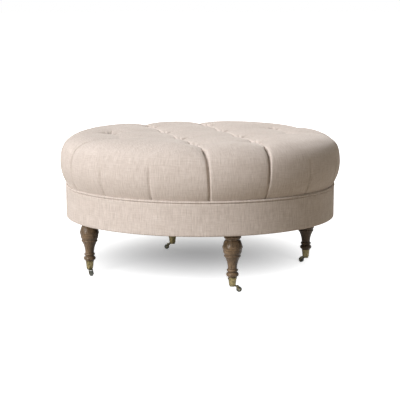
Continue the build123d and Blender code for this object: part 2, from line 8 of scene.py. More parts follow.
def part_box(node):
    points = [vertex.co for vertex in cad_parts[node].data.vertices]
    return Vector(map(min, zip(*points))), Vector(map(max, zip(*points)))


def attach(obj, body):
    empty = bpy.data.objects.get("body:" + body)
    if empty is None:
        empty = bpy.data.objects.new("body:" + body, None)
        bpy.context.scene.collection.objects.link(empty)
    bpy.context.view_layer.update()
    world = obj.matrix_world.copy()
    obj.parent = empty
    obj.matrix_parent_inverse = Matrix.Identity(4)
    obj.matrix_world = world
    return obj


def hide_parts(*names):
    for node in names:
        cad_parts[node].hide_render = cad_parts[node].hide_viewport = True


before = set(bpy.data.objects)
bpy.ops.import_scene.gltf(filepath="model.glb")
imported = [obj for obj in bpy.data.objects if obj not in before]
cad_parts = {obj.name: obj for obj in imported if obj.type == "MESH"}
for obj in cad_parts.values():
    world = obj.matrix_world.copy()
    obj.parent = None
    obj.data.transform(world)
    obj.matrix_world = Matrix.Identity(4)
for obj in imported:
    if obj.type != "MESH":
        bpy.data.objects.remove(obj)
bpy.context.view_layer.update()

# A round tufted ottoman on four turned legs with brass cup casters. Metres, +Z up.
# The hard parts are the frame's own nodes with better materials; the upholstery is built here.

# Sizes read from the frame
COVER_LOW, COVER_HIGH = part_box("tufted_cover")
APRON_LOW, APRON_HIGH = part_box("apron_cover")
WELT_LOW, WELT_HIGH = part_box("welt_cord")
FOAM_LOW, FOAM_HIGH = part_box("foam_core")
DUST_LOW, DUST_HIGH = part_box("dust_cover")
DECK_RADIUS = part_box("deck_board")[1].x
TOP = COVER_HIGH.z
FOOT = COVER_LOW.z
WIDEST = COVER_HIGH.x
APRON = APRON_HIGH.x
WELT = (WELT_HIGH.z - WELT_LOW.z) / 2
SEAM = WELT_HIGH.x - 2 * WELT

# The cover's section: height of its widest line, straight band at the seam, arcs of side and shoulder
WIDEST_HEIGHT = 0.386
SEAM_BAND = 0.007
SIDE_RADIUS, SIDE_TURN = 0.200, math.radians(12)
SHOULDER_RADIUS, SHOULDER_TURN = 0.055, math.radians(43)
# Points on each arc, and how many of the first arc's are read to find a run on the crown's edge
ARC_POINTS, EDGE_POINTS = 225, 200

# The apron's closing seam, and the legs with their holes in the dust cloth
BACK_SEAM = math.radians(70)
LEG_CIRCLE = 0.392
LEGS = [(LEG_CIRCLE, 0.0), (0.0, LEG_CIRCLE), (-LEG_CIRCLE, 0.0), (0.0, -LEG_CIRCLE)]
LEG_HOLE = 0.0296

# The tufts lie on a square grid of four by four without its corners
PITCH = 0.2086
NEAR, FAR = PITCH / 2, 0.296


def grid_places(far):
    """The twelve tufts' plan places, the outer ones this far out."""
    places = [(x, y) for x in (-NEAR, NEAR) for y in (-NEAR, NEAR)]
    places += [(n, f) for n in (-NEAR, NEAR) for f in (-far, far)]
    return places + [(f, n) for n in (-NEAR, NEAR) for f in (-far, far)]


# The dishes' mouths, and the pits over the foam's holes, where the twines pull
TUFTS = grid_places(FAR)
PITS = grid_places(1.5 * PITCH)
HOLE = 0.0135

# Where the net's grid ends, where the pleats begin, the darts, and the puckers beside a tuft's folds
GRID_RADIUS = 0.440
PLEAT_RADIUS = 0.418
DART_ANGLES = (math.radians(32.6), math.radians(55.1))
PUCKERS = (math.radians(24), math.radians(67))

# How the fabric settles: cloth pressure, how firmly pleats and darts are held, the furthest a point
# moves, how much of the side's swell is taken back, and how much further the twines draw the rows in
PRESSURE = 4.0
PLEAT_HOLD, DART_HOLD = 0.9, 0.6
MOST_SETTLE = 0.022
SIDE_SWELL_BACK = 0.75
TWINE_PULL = 0.45

# Room between layers, thickness of the cloth, the foam's rounded edge, and the fold under the deck
GAP = 0.0005
CLOTH = 0.0015
FOAM_EDGE = 0.045
FOLD = SEAM - 0.032


# Shapes

def make_object(name, points, faces, material=None):
    """A smooth-shaded mesh object from arrays of points and faces."""
    mesh = bpy.data.meshes.new(name)
    mesh.from_pydata([tuple(p) for p in points], [], [tuple(f) for f in faces])
    mesh.validate()
    mesh.polygons.foreach_set("use_smooth", [True] * len(mesh.polygons))
    made = bpy.data.objects.new(name, mesh)
    bpy.context.scene.collection.objects.link(made)
    if material:
        mesh.materials.append(material)
    return made


def points_of(made):
    """A mesh object's points as an array."""
    points = np.zeros(len(made.data.vertices) * 3)
    made.data.vertices.foreach_get("co", points)
    return points.reshape(-1, 3)


def set_points(made, points):
    """Move a mesh object's points."""
    made.data.vertices.foreach_set("co", np.asarray(points, float).ravel())
    made.data.update()


def normals_of(made):
    """A mesh object's vertex normals as an array."""
    normals = np.zeros(len(made.data.vertices) * 3)
    made.data.vertex_normals.foreach_get("vector", normals)
    return normals.reshape(-1, 3)


def applied(made, modifier):
    """Apply a modifier to its mesh object."""
    bpy.context.view_layer.objects.active = made
    bpy.ops.object.modifier_apply(modifier=modifier.name)
    return made


def subdivided(made):
    """Apply one subdivision to a mesh object."""
    modifier = made.modifiers.new("subdivision", "SUBSURF")
    modifier.levels = 1
    return applied(made, modifier)


def on_arc(centre, radius, angles):
    """Points at these angles on a circle, in plan or in section."""
    return [(centre[0] + radius * math.cos(a), centre[1] + radius * math.sin(a)) for a in angles]


def spaced(start, end, count, places, pull=3.0, reach=0.012):
    """Positions from start to end that lie closer together near the given places."""
    fine = np.linspace(start, end, 2000)
    density = 1 + pull * sum(np.exp(-np.abs(fine - place) / reach) for place in places)
    run = np.concatenate([[0], np.cumsum((density[1:] + density[:-1]) / 2)])
    return np.interp(np.arange(count + 1) / count * run[-1], run, fine)


def through(positions, place):
    """Positions eased a little so that one of them falls on the place."""
    nearest = int(np.argmin(np.abs(positions - place)))
    start, middle, end = positions[0], positions[nearest], positions[-1]
    return np.where(
        positions <= middle,
        start + (positions - start) * (place - start) / (middle - start),
        end - (end - positions) * (end - place) / (end - middle),
    )


def side_profile():
    """The cover's section from where its flat crown ends to its foot: r, z and arc length."""
    shoulder_end = SIDE_TURN + SHOULDER_TURN
    corner_r = WIDEST - SIDE_RADIUS * (1 - math.cos(SIDE_TURN))
    corner_z = WIDEST_HEIGHT + SIDE_RADIUS * math.sin(SIDE_TURN)
    end_r = corner_r - SHOULDER_RADIUS * (math.cos(SIDE_TURN) - math.cos(shoulder_end))
    end_z = corner_z + SHOULDER_RADIUS * (math.sin(shoulder_end) - math.sin(SIDE_TURN))
    edge_radius = (TOP - end_z) / (1 - math.sin(shoulder_end))
    rows = []
    for centre_r, centre_z, radius, high, low in (
        (end_r - edge_radius * math.cos(shoulder_end), TOP - edge_radius, edge_radius,
         math.pi / 2, shoulder_end),
        (corner_r - SHOULDER_RADIUS * math.cos(SIDE_TURN),
         corner_z - SHOULDER_RADIUS * math.sin(SIDE_TURN), SHOULDER_RADIUS, shoulder_end, SIDE_TURN),
        (WIDEST - SIDE_RADIUS, WIDEST_HEIGHT, SIDE_RADIUS, SIDE_TURN, 0),
    ):
        rows += on_arc((centre_r, centre_z), radius, np.linspace(high, low, ARC_POINTS))
    reach, rise = WIDEST - SEAM, WIDEST_HEIGHT - FOOT - SEAM_BAND
    lower_radius = (rise**2 + reach**2) / (2 * reach)
    for angle in np.linspace(0, math.asin(rise / lower_radius), ARC_POINTS):
        rows.append((WIDEST - lower_radius * (1 - math.cos(angle)),
                     WIDEST_HEIGHT - lower_radius * math.sin(angle)))
    rows.append((SEAM, FOOT))
    rows = np.array(rows)
    keep = np.concatenate([[True], np.linalg.norm(np.diff(rows, axis=0), axis=1) > 1e-7])
    rows = rows[keep]
    run = np.concatenate([[0], np.cumsum(np.linalg.norm(np.diff(rows, axis=0), axis=1))])
    return rows[:, 0], rows[:, 1], run


PROFILE_R, PROFILE_Z, PROFILE_RUN = side_profile()
WIDEST_RUN = PROFILE_RUN[np.argmax(PROFILE_R)]
END_RUN = PROFILE_RUN[-1]


def run_of(radius):
    """The run down the profile at this radius of the crown's edge; 0 on the flat crown."""
    return float(np.interp(radius, PROFILE_R[:EDGE_POINTS], PROFILE_RUN[:EDGE_POINTS]))


GRID_RUN = run_of(GRID_RADIUS)
PLEAT_RUN = run_of(PLEAT_RADIUS)
PLEAT_START = (PLEAT_RUN - 0.006, PLEAT_RUN + 0.016)


def smooth(value, low, high):
    """0 below low, 1 above high, and smooth between."""
    t = np.clip((value - low) / (high - low), 0, 1)
    return t * t * (3 - 2 * t)


def cusp(distance, half_width, power=2.0):
    """1 on a crease's line, falling to 0 at half its width with a flat shoulder."""
    return np.clip(1 - np.abs(distance) / half_width, 0, 1) ** power


def bell(distance, reach):
    """1 at no distance, falling smoothly to nearly 0 at twice the reach."""
    return np.exp(-((distance / reach) ** 2))


def drawn(run):
    """How much nearer together a row's two pleats run as they go down the side."""
    return 1 - 0.07 * smooth(run, GRID_RUN, END_RUN)


def cover_grid(inner=30, outer=16, rings=40):
    """The cover's net: plan x and y, run down the profile, and faces.

    Lines of the net lie on every row of tufts and on every pleat down the side."""
    keys, rows, faces = {}, [], []

    def vertex(x, y, run):
        """The number of the net's point here, which neighbouring patches share."""
        key = (round(x, 5), round(y, 5), round(run, 5))
        if key not in keys:
            keys[key] = len(rows)
            rows.append((x, y, run))
        return keys[key]

    def patch(grid, turn):
        """Faces over a grid of (x, y, run), turned by quarter turns."""
        c, s = ((1, 0), (0, 1), (-1, 0), (0, -1))[turn]
        ids = [[vertex(x * c - y * s, x * s + y * c, run) for x, y, run in line] for line in grid]
        for a, b in zip(ids, ids[1:]):
            for i in range(len(a) - 1):
                faces.append((a[i], b[i], b[i + 1], a[i + 1]))

    across = spaced(-NEAR, NEAR, inner, (-NEAR, NEAR))
    along = spaced(NEAR, FAR, inner, (NEAR, FAR))
    half_pi = math.pi / 2

    def edge_run(y):
        """Positions along x from the outer tufts' line to the grid's rim at this y."""
        rim = math.sqrt(GRID_RADIUS**2 - y**2)
        return [FAR + (rim - FAR) * s for s in spaced(0, 1, outer, (0,), reach=0.08)[1:]]

    # the corner's outline, from the row y = NEAR out to the rim and round to the diagonal
    row_line = list(along) + edge_run(NEAR)
    count = len(row_line) - 1
    rim_low = math.asin(NEAR / GRID_RADIUS)
    rim_span = math.pi / 4 - rim_low

    def arc_to(dart):
        """Angles on the rim from the row's end to the diagonal, one of them on the dart."""
        shares = through(spaced(0, 1, count, (0,), reach=0.06), (dart - rim_low) / rim_span)
        return [rim_low + rim_span * s for s in shares]

    arc, far_arc = arc_to(DART_ANGLES[0]), arc_to(half_pi - DART_ANGLES[1])
    low = [(x, NEAR) for x in row_line]
    left = [(NEAR, x) for x in row_line]
    right = on_arc((0, 0), GRID_RADIUS, arc)
    top = [(GRID_RADIUS * math.sin(a), GRID_RADIUS * math.cos(a)) for a in far_arc]
    corner_patch = []
    share = [(x - NEAR) / (row_line[-1] - NEAR) for x in row_line]
    for j in range(count + 1):
        v, line = share[j], []
        for i in range(count + 1):
            u = share[i]
            point = [
                (1 - v) * low[i][k] + v * top[i][k] + (1 - u) * left[j][k] + u * right[j][k]
                - (1 - u) * (1 - v) * low[0][k] - u * (1 - v) * low[-1][k]
                - (1 - u) * v * left[-1][k] - u * v * right[-1][k]
                for k in (0, 1)
            ]
            line.append((point[0], point[1], run_of(math.hypot(*point))))
        corner_patch.append(line)

    # rings down the side: rows keep their line in plan to the widest radius, then go straight down
    side_runs = spaced(GRID_RUN, END_RUN, rings, (END_RUN,), pull=1.0)
    front_patch, corner_side = [], []
    for run in side_runs:
        radius = float(np.interp(run, PROFILE_RUN, PROFILE_R))
        plan = WIDEST if run > WIDEST_RUN else radius
        angles = [math.asin(y * drawn(run) / plan) for y in across]
        front_patch.append([(x, y, run) for x, y in on_arc((0, 0), radius, angles)])
        drift = (math.asin(NEAR * drawn(run) / plan) - rim_low) / rim_span
        near_half, far_half = [[a + drift * (math.pi / 4 - a) for a in line] for line in (arc, far_arc)]
        angles = near_half + [half_pi - a for a in reversed(far_half[:-1])]
        corner_side.append([(x, y, run) for x, y in on_arc((0, 0), radius, angles)])

    for turn in range(4):
        patch([[(x, y, 0.0) for y in across] for x in along], turn)
        edge = [[(FAR, y, 0.0) for y in across]]
        lines = [edge_run(y) for y in across]
        for i in range(outer):
            edge.append([(line[i], y, run_of(math.hypot(line[i], y))) for line, y in zip(lines, across)])
        patch(edge, turn)
        patch([list(line) for line in zip(*corner_patch)], turn)
        patch(front_patch, turn)
        patch(corner_side, turn)
    patch([[(x, y, 0.0) for y in across] for x in across], 0)
    return np.array(rows), faces


def base_points(rows):
    """Points and outward directions of the plain cover for rows of plan x, y and run."""
    x, y, run = rows.T
    radius = np.maximum(np.hypot(x, y), 1e-9)
    z = np.where(run > 0, np.interp(run, PROFILE_RUN, PROFILE_Z), TOP)
    slope_r = np.gradient(PROFILE_R, PROFILE_RUN)
    slope_z = np.gradient(PROFILE_Z, PROFILE_RUN)
    out_r = np.where(run > 0, -np.interp(run, PROFILE_RUN, slope_z), 0.0)
    out_z = np.where(run > 0, np.interp(run, PROFILE_RUN, slope_r), 1.0)
    out = np.stack([out_r * x / radius, out_r * y / radius, out_z], 1)
    out /= np.linalg.norm(out, axis=1)[:, None]
    return np.stack([x, y, z], 1), out


def plan_of(rows):
    """Plan places that follow a row of tufts over the edge and straight down the side."""
    x, y, run = rows.T
    radius = np.maximum(np.hypot(x, y), 1e-9)
    scale = np.where(run > WIDEST_RUN, WIDEST / radius, 1.0) / drawn(run)
    return x * scale, y * scale


def rows_near(px, py):
    """For the rows along y and then along x: how far each place is off the row, how far along it
    from a tuft, and how far off it towards the steeper side of the row's pleat."""
    ax, ay = np.abs(px), np.abs(py)
    turn = np.where(px * py < 0, -1.0, 1.0)
    for offset, along, side in ((ax - NEAR, ay, -turn), (ay - NEAR, ax, turn)):
        yield offset, np.minimum(np.abs(along - NEAR), np.abs(along - FAR)), offset * side


def darts_near(x, y):
    """How far each place is off the darts' lines, one array for each dart of a quarter."""
    angle = np.degrees(np.arctan2(y, x)) % 90
    return [(angle - math.degrees(dart)) * math.pi / 180 * np.hypot(x, y) for dart in DART_ANGLES]


# The stuffed cover's forms: depths, each followed by its half width or reach
VALLEY, VALLEY_WIDTH, VALLEYS_CROSSED = 0.0062, 0.090, 0.0096
FOLD_IN, FOLD_WIDTH, FOLD_REACH = 0.0080, 0.030, 0.030
PLEAT, PLEAT_FLAT_SIDE, PLEAT_STEEP_SIDE = 0.0080, 0.030, 0.014
SHORT_VALLEY, SHORT_VALLEY_WIDTH, SHORT_FOLD, SHORT_FOLD_WIDTH = 0.0048, 0.080, 0.0065, 0.034
DISH, DISH_WIDTH, PIT, PIT_REACH = 0.0165, 0.062, 0.0085, 0.0085
# Fine folds cut after settling, in the same way
SLIT, SLIT_WIDTH, SLIT_REACH = 0.0140, 0.0056, 0.052
PLEAT_LINE, LINE_FLAT_SIDE, LINE_STEEP_SIDE = 0.0062, 0.0085, 0.0055
PUCKER, PUCKER_WIDTH = 0.0042, 0.0042
DART_LINE, DART_LINE_WIDTH = 0.0046, 0.0042


def dents(rows):
    """How far the stuffed cover is drawn in: soft valleys along the rows, pleats, darts, tufts."""
    x, y, run = rows.T
    px, py = plan_of(rows)
    ax, ay = np.abs(px), np.abs(py)
    down = smooth(run, 0.75 * WIDEST_RUN, END_RUN)
    over = smooth(run, *PLEAT_START)
    lower = smooth(run, PLEAT_RUN + 0.015, WIDEST_RUN)
    wide = 1 - 0.55 * lower
    broads, narrows = [], []
    for offset, away, across in rows_near(px, py):
        hold = bell(away, FOLD_REACH) * (1 - over)
        pleat = np.where(across < 0, cusp(across, PLEAT_FLAT_SIDE * wide, 2.2),
                         cusp(across, PLEAT_STEEP_SIDE * wide, 1.8))
        valley = VALLEY + 0.0022 * hold - over * (0.0008 + 0.0042 * lower)
        broads.append(valley * cusp(offset, VALLEY_WIDTH))
        narrows.append((0.0010 + FOLD_IN * hold) * (1 - over) * cusp(offset, FOLD_WIDTH, 2.4)
                       + over * (PLEAT - 0.0050 * lower - 0.0012 * down) * pleat)
    depth = broads[0] + broads[1] - broads[0] * broads[1] / VALLEYS_CROSSED
    depth = depth + np.maximum(narrows[0], narrows[1])
    # short creases across the outer rows, between the outer pairs of tufts
    for long, cross in ((ax, ay), (ay, ax)):
        inside = 1 - smooth(cross, NEAR, NEAR + 0.03)
        fold = SHORT_FOLD * bell(cross - NEAR, 0.034) * cusp(long - FAR, SHORT_FOLD_WIDTH, 2.2)
        crease = SHORT_VALLEY * cusp(long - FAR, SHORT_VALLEY_WIDTH) + fold
        depth = depth + inside * crease * (1 - 0.8 * bell(cross - NEAR, 0.02))
    # darts low on the side between the pleats
    fade = smooth(run, GRID_RUN + 0.050, WIDEST_RUN + 0.020) ** 1.4 * (1 - 0.35 * down)
    for off in darts_near(x, y):
        depth = depth + fade * (0.0016 * cusp(off, 0.040) + 0.0012 * cusp(off, 0.012, 2.0))
    # tufts: a wide dish with folds round it, and a pit
    for (tx, ty), (pit_x, pit_y) in zip(TUFTS, PITS):
        away = np.hypot(px - tx, py - ty)
        pit = np.hypot(px - pit_x, py - pit_y)
        turn = np.arctan2(py - ty, px - tx)
        folds = 0.0015 * np.cos(4 * turn) * bell(away - 0.018, 0.011)
        tuft = DISH * cusp(away, DISH_WIDTH, 3.2) + PIT * bell(pit, PIT_REACH) + folds
        depth = depth + np.where(run < WIDEST_RUN, tuft, 0)
    return depth


def stitches(rows):
    """Fine folds cut after the fabric has settled: slits at the tufts, pleat lines, dart lines."""
    x, y, run = rows.T
    px, py = plan_of(rows)
    down = smooth(run, 0.75 * WIDEST_RUN, END_RUN)
    over = smooth(run, PLEAT_RUN - 0.004, PLEAT_RUN + 0.012)
    depth = 0
    for offset, away, across in rows_near(px, py):
        slit = SLIT * bell(away, SLIT_REACH) * cusp(offset, SLIT_WIDTH, 1.1) * (1 - over)
        pleat = np.where(across < 0, cusp(across, LINE_FLAT_SIDE, 1.7),
                         cusp(across, LINE_STEEP_SIDE, 1.4))
        depth = np.maximum(depth, slit + over * (PLEAT_LINE - 0.0030 * down) * pleat)
    # short puckers that run out from each tuft beside the main folds
    for tx, ty in TUFTS:
        away = np.hypot(px - tx, py - ty)
        turn = np.arctan2(py - ty, px - tx) % (math.pi / 2)
        near = PUCKER * bell(away - 0.024, 0.015) * (run < WIDEST_RUN)
        for way in PUCKERS:
            depth = np.maximum(depth, near * cusp((turn - way) * away, PUCKER_WIDTH, 1.3))
    fade = smooth(run, GRID_RUN + 0.045, WIDEST_RUN - 0.005)
    for off in darts_near(x, y):
        depth = depth + fade * DART_LINE * cusp(off, DART_LINE_WIDTH, 1.2)
    return depth


def holds(rows):
    """How firmly each point of the cover is held while it settles: seam, tufts, pleats, darts."""
    x, y, run = rows.T
    px, py = plan_of(rows)
    held = (run > END_RUN - 0.004).astype(float)
    for pit_x, pit_y in PITS:
        held = np.maximum(held, (np.hypot(px - pit_x, py - pit_y) < 0.009) & (run < WIDEST_RUN))
    line = np.minimum(np.abs(np.abs(px) - NEAR), np.abs(np.abs(py) - NEAR)) < 0.003
    held = np.maximum(held, line * smooth(run, *PLEAT_START) * PLEAT_HOLD)
    fade = smooth(run, GRID_RUN + 0.055, WIDEST_RUN + 0.030)
    for off in darts_near(x, y):
        held = np.maximum(held, (np.abs(off) < 0.002) * fade * DART_HOLD)
    return held


def settle(made, held, frames=20):
    """Let the fabric swell under its stuffing: cloth with pressure and no gravity, applied."""
    group = made.vertex_groups.new(name="held")
    for weight in np.unique(np.round(held, 2)):
        if weight > 0:
            group.add(np.flatnonzero(np.round(held, 2) == weight).tolist(), float(weight), "REPLACE")
    cloth = made.modifiers.new("cloth", "CLOTH")
    settings = cloth.settings
    settings.quality = 6
    settings.mass = 0.3
    settings.tension_stiffness = settings.compression_stiffness = 18
    settings.shear_stiffness = 8
    settings.bending_stiffness = 1.2
    settings.use_pressure = True
    settings.uniform_pressure_force = PRESSURE
    settings.vertex_group_mass = "held"
    settings.pin_stiffness = 6
    settings.effector_weights.gravity = 0
    cloth.collision_settings.use_collision = False
    cloth.point_cache.frame_end = frames
    scene = bpy.context.scene
    for number in range(1, frames + 1):
        scene.frame_set(number)
    applied(made, cloth)
    scene.frame_set(1)


# Materials

def socket(tree, target, value):
    """Link a value into a socket if it is one, or set it."""
    if isinstance(value, bpy.types.NodeSocket):
        tree.links.new(value, target)
    else:
        target.default_value = value


def node(tree, kind, inputs=None, **settings):
    """A new node with its settings and inputs; returns the node."""
    made = tree.nodes.new(kind)
    for key, value in settings.items():
        setattr(made, key, value)
    for key, value in (inputs or {}).items():
        socket(tree, made.inputs[key], value)
    return made


def calc(tree, operation, *values):
    """A maths node's result."""
    made = node(tree, "ShaderNodeMath", operation=operation)
    for index, value in enumerate(values):
        socket(tree, made.inputs[index], value)
    return made.outputs[0]


def mixed(tree, factor, first, second, blend="MIX"):
    """Two colours mixed."""
    made = node(tree, "ShaderNodeMix", data_type="RGBA", blend_type=blend)
    socket(tree, made.inputs[0], factor)
    socket(tree, made.inputs[6], first)
    socket(tree, made.inputs[7], second)
    return made.outputs[2]


def stretched(tree, parts, scales, third=0.0):
    """A place with its parts multiplied, so that noise there is drawn out; two parts take a third."""
    scaled = [calc(tree, "MULTIPLY", part, scale) for part, scale in zip(parts, scales)]
    x, y, z = scaled if len(scaled) == 3 else (*scaled, third)
    return node(tree, "ShaderNodeCombineXYZ", {0: x, 1: y, 2: z}).outputs[0]


def mapped(tree, value, low, high, start=0.0, end=1.0, kind="LINEAR"):
    """A value from low to high mapped to start and end."""
    return node(tree, "ShaderNodeMapRange", {0: value, 1: low, 2: high, 3: start, 4: end},
                interpolation_type=kind).outputs[0]


def clouds(tree, place, scale=1.0, detail=3.0, rough=0.55, distortion=0.0):
    """Smooth noise from 0 to 1 at a place."""
    made = node(tree, "ShaderNodeTexNoise",
                {"Vector": place, "Scale": scale, "Detail": detail, "Roughness": rough,
                 "Distortion": distortion})
    return made.outputs["Fac"]


def ramp(tree, factor, stops):
    """Colours or greys along a factor."""
    made = node(tree, "ShaderNodeValToRGB", {0: factor})
    band = made.color_ramp
    while len(band.elements) < len(stops):
        band.elements.new(0.5)
    for element, (position, colour) in zip(band.elements, stops):
        element.position = position
        element.color = (*colour, 1)
    return made.outputs[0]


def new_material(name, **values):
    """A material with a principled shader whose even values are set on its own sockets."""
    made = bpy.data.materials.new(name)
    made.use_nodes = True
    shader = made.node_tree.nodes["Principled BSDF"]
    for key, value in values.items():
        shader.inputs[key.replace("_", " ").title().replace("Ior", "IOR")].default_value = value
    return made, made.node_tree


def place_parts(tree):
    """The object coordinates, and their x, y and z."""
    place = node(tree, "ShaderNodeTexCoord").outputs["Object"]
    parts = node(tree, "ShaderNodeSeparateXYZ", {0: place}).outputs
    return place, (parts[0], parts[1], parts[2])


def surface(made, colour, rough, height, strength, depth):
    """Link a colour, a roughness unless it is even, and a bump into a material's shader."""
    tree = made.node_tree
    shader = tree.nodes["Principled BSDF"]
    socket(tree, shader.inputs["Base Color"], colour)
    if rough is not None:
        socket(tree, shader.inputs["Roughness"], rough)
    bump = node(tree, "ShaderNodeBump", {"Strength": strength, "Distance": depth, "Height": height})
    socket(tree, shader.inputs["Normal"], bump.outputs[0])
    return made


WHITE = (1.0, 1.0, 1.0)
THREAD = 0.0013
LINEN_DARK = (0.525, 0.455, 0.395)
LINEN_BODY = (0.645, 0.572, 0.512)
LINEN_LIGHT = (0.750, 0.685, 0.625)
PAINTED_CREASE_SHADE = (0.33, 0.30, 0.28)
# The painted shade at each tuft, a dark cross along the rows: its colour, and its arms' half width and
# length
PAINTED_ARM_SHADE = (0.42, 0.39, 0.37)
ARM_WIDTH, ARM_LENGTH = 0.0150, 0.046


def linen_pattern(tree, u, v):
    """Slub linen on a plane: its height and shade for thread directions u and v."""
    wander = clouds(tree, stretched(tree, (u, v), (90, 90)), detail=1.0)
    bent_u = calc(tree, "MULTIPLY_ADD", wander, THREAD * 0.9, u)
    bent_v = calc(tree, "MULTIPLY_ADD", wander, THREAD * 0.7, v)
    warp = calc(tree, "SINE", calc(tree, "MULTIPLY", bent_u, math.pi / THREAD))
    weft = calc(tree, "SINE", calc(tree, "MULTIPLY", bent_v, math.pi / THREAD))
    weave = calc(tree, "MULTIPLY", warp, weft)
    slub_up = clouds(tree, stretched(tree, (u, v), (520, 38)), detail=2.0)
    slub_over = clouds(tree, stretched(tree, (u, v), (34, 560), 3.7), detail=2.0)
    slub = calc(tree, "MULTIPLY_ADD", slub_up, 0.62, calc(tree, "MULTIPLY", slub_over, 0.38))
    height = calc(tree, "MULTIPLY_ADD", weave, 0.30, calc(tree, "MULTIPLY", slub, 0.9))
    return height, calc(tree, "MULTIPLY_ADD", weave, 0.035, slub)


def painted_tuft_shade(tree, x, y):
    """Painted shade where the fabric is folded into the tufts: a short dark cross along the rows at each.
    """
    ax, ay = calc(tree, "ABSOLUTE", x), calc(tree, "ABSOLUTE", y)
    nearest = 9.0  # beyond the end of every arm
    for tx, ty in ((NEAR, NEAR), (NEAR, FAR), (FAR, NEAR)):
        dx = calc(tree, "ABSOLUTE", calc(tree, "SUBTRACT", ax, tx))
        dy = calc(tree, "ABSOLUTE", calc(tree, "SUBTRACT", ay, ty))
        for short, long in ((dx, dy), (dy, dx)):
            along = calc(tree, "DIVIDE", long, ARM_LENGTH)
            arm = calc(tree, "ADD", calc(tree, "DIVIDE", short, ARM_WIDTH), along)
            nearest = calc(tree, "MINIMUM", nearest, arm)
    return ramp(tree, nearest, [(0.30, PAINTED_ARM_SHADE), (1.0, WHITE)])


def linen(name, crown=False, streaks=0.5):
    """Oatmeal linen: warp up the side, and on the crown along the rows of tufts."""
    made, tree = new_material(name, roughness=0.9, sheen_weight=0.45, sheen_roughness=0.45,
                              sheen_tint=(1.0, 0.94, 0.87, 1.0), specular_ior_level=0.25)
    place, (x, y, z) = place_parts(tree)
    around = calc(tree, "MULTIPLY", calc(tree, "ARCTAN2", x, calc(tree, "MULTIPLY", y, -1)), WIDEST)
    height, shade = linen_pattern(tree, around, z)
    if crown:
        flat_height, flat_shade = linen_pattern(tree, x, y)
        normal = node(tree, "ShaderNodeTexCoord").outputs["Normal"]
        facing = node(tree, "ShaderNodeSeparateXYZ", {0: normal}).outputs[2]
        on_top = mapped(tree, facing, 0.60, 0.78, kind="SMOOTHSTEP")
        height = node(tree, "ShaderNodeMix", {0: on_top, 2: height, 3: flat_height}).outputs[0]
        shade = node(tree, "ShaderNodeMix", {0: on_top, 2: shade, 3: flat_shade}).outputs[0]
    colour = ramp(tree, shade, [(0.30, LINEN_DARK), (0.50, LINEN_BODY), (0.68, LINEN_LIGHT)])
    if crown:
        # painted shade in the folds at the tufts
        colour = mixed(tree, 1.0, colour, painted_tuft_shade(tree, x, y), "MULTIPLY")
    patches = clouds(tree, place, scale=9.0, detail=4.0)
    tint = ramp(tree, patches, [(0.3, (0.95, 0.945, 0.94)), (0.7, WHITE)])
    colour = mixed(tree, 1.0, colour, tint, "MULTIPLY")
    long_slubs = clouds(tree, stretched(tree, (around, z), (210, 17), 8.1), detail=3.0, rough=0.6)
    streak = ramp(tree, long_slubs, [(0.34, (0.80, 0.79, 0.78)), (0.50, (0.97, 0.97, 0.97)),
                                     (0.64, (1.06, 1.06, 1.06))])
    colour = mixed(tree, streaks, colour, streak, "MULTIPLY")
    # painted shade: the fabric is darkened in folds and seams, where its surface is hollow
    bend = node(tree, "ShaderNodeNewGeometry").outputs["Pointiness"]
    painted_crease_shade = ramp(tree, bend, [(0.38, PAINTED_CREASE_SHADE), (0.478, WHITE)])
    colour = mixed(tree, 1.0, colour, painted_crease_shade, "MULTIPLY")
    return surface(made, colour, mapped(tree, shade, 0.3, 0.7, 0.97, 0.82), height, 0.55, 0.0006)


def turned_wood():
    """Weathered brown wood: long grain, painted shade in the turned grooves, and lighter on the beads where
    they are worn by rubbing.
    """
    made, tree = new_material("turned_wood", roughness=0.3, specular_ior_level=0.14)
    place, parts = place_parts(tree)
    grain = clouds(tree, stretched(tree, parts, (340, 340, 20)), detail=5.0, rough=0.62, distortion=0.4)
    pores = clouds(tree, stretched(tree, parts, (1500, 1500, 110)), detail=2.0)
    patches = clouds(tree, place, scale=42.0, detail=4.0)
    colour = ramp(tree, grain, [(0.28, (0.047, 0.031, 0.019)), (0.50, (0.116, 0.080, 0.050)),
                                (0.72, (0.190, 0.138, 0.089))])
    worn = ramp(tree, patches, [(0.35, (0.72, 0.72, 0.72)), (0.70, (1.12, 1.10, 1.06))])
    colour = mixed(tree, 1.0, colour, worn, "MULTIPLY")
    dark = ramp(tree, pores, [(0.38, (0.45, 0.42, 0.40)), (0.47, WHITE)])
    colour = mixed(tree, 0.55, colour, dark, "MULTIPLY")
    # painted shade darkens the hollow grooves, and the beads are lighter where worn by rubbing
    edges = node(tree, "ShaderNodeNewGeometry").outputs["Pointiness"]
    groove_shade_and_rubbing = ramp(tree, edges, [(0.455, (0.55, 0.52, 0.50)), (0.50, WHITE), (0.56, (1.45, 1.42, 1.36))])
    colour = mixed(tree, 0.8, colour, groove_shade_and_rubbing, "MULTIPLY")
    height = calc(tree, "MULTIPLY_ADD", pores, 0.5, grain)
    return surface(made, colour, mapped(tree, grain, 0.3, 0.7, 0.38, 0.22), height, 0.35, 0.0006)


def metal(name, body, dull, shine):
    """Aged metal: a body colour, tarnish in patches and fine scratches."""
    made, tree = new_material(name, metallic=1.0, roughness=0.3)
    place, parts = place_parts(tree)
    tarnish = clouds(tree, place, scale=160.0, detail=5.0, rough=0.65)
    scratches = clouds(tree, stretched(tree, parts, (900, 900, 72)), detail=2.0)
    colour = ramp(tree, tarnish, [(0.36, dull), (0.60, body)])
    dulled = mapped(tree, tarnish, 0.3, 0.7, shine + 0.16, shine)
    height = calc(tree, "MULTIPLY_ADD", scratches, 0.4, tarnish)
    rough = calc(tree, "MULTIPLY_ADD", scratches, 0.18, dulled)
    return surface(made, colour, rough, height, 0.12, 0.0002)


